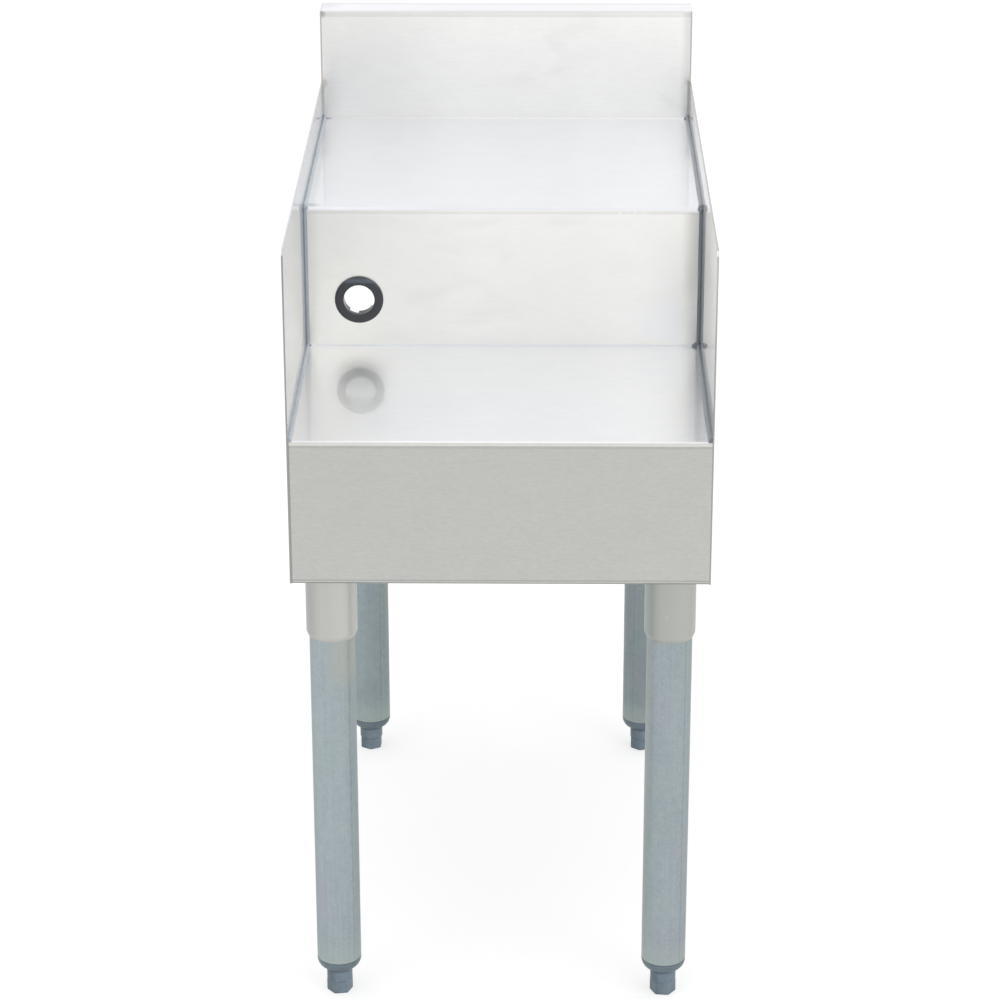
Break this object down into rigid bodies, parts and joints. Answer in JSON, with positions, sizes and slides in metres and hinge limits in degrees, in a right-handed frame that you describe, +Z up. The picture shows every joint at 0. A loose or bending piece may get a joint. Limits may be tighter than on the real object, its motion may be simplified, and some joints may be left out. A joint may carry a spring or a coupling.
{
  "type": "bar blender station",
  "caption": "Narrow stainless steel underbar stand with stepped decks, end splashes, a backsplash, a cord hole and tube legs with screw feet.",
  "frame": {"origin": "centre of the outer box on the floor", "axes": "+Z up, the front with its apron faces -Y, +X to the right seen from the front"},
  "size_m": [0.381, 0.6096, 0.834],
  "materials": {
    "stainless_body": "fine brushed",
    "stainless_panels": "fine brushed",
    "stainless_sockets": "satin",
    "galvanized_tube": "dull galvanized",
    "galvanized_sheet": "dull galvanized",
    "zinc_fasteners": "zinc plated",
    "plated_feet": "dull plated",
    "grey_plastic": "moulded grey",
    "black_plastic": "satin black",
    "sealant": "grey silicone"
  },
  "bodies": {
    "station": {"body_sheet": "stainless_body", "left_end_panel": "stainless_panels", "right_end_panel": "stainless_panels", "left_sealant_bead": "sealant", "right_sealant_bead": "sealant", "cord_grommet": "black_plastic", "lower_deck_stiffener": "galvanized_sheet", "upper_deck_stiffener": "galvanized_sheet", "front_leg_channel": "galvanized_sheet", "rear_leg_channel": "galvanized_sheet", "front_socket_bolts": "zinc_fasteners", "rear_socket_bolts": "zinc_fasteners", "front_socket_nuts": "zinc_fasteners", "rear_socket_nuts": "zinc_fasteners", "socket_set_screws": "zinc_fasteners", "front_left_leg_socket": "stainless_sockets", "front_left_leg": "galvanized_tube", "front_left_foot_insert": "grey_plastic", "front_right_leg_socket": "stainless_sockets", "front_right_leg": "galvanized_tube", "front_right_foot_insert": "grey_plastic", "rear_left_leg_socket": "stainless_sockets", "rear_left_leg": "galvanized_tube", "rear_left_foot_insert": "grey_plastic", "rear_right_leg_socket": "stainless_sockets", "rear_right_leg": "galvanized_tube", "rear_right_foot_insert": "grey_plastic"},
    "front_left_foot": {"front_left_foot": "plated_feet"},
    "front_right_foot": {"front_right_foot": "plated_feet"},
    "rear_left_foot": {"rear_left_foot": "plated_feet"},
    "rear_right_foot": {"rear_right_foot": "plated_feet"}
  },
  "joints": [
    {"name": "front_left_foot_screw", "type": "slide", "parent": "station", "child": "front_left_foot", "axis": [0, 0, -1], "range_m": [0, 0.025]},
    {"name": "front_right_foot_screw", "type": "slide", "parent": "station", "child": "front_right_foot", "axis": [0, 0, -1], "range_m": [0, 0.025]},
    {"name": "rear_left_foot_screw", "type": "slide", "parent": "station", "child": "rear_left_foot", "axis": [0, 0, -1], "range_m": [0, 0.025]},
    {"name": "rear_right_foot_screw", "type": "slide", "parent": "station", "child": "rear_right_foot", "axis": [0, 0, -1], "range_m": [0, 0.025]}
  ]
}
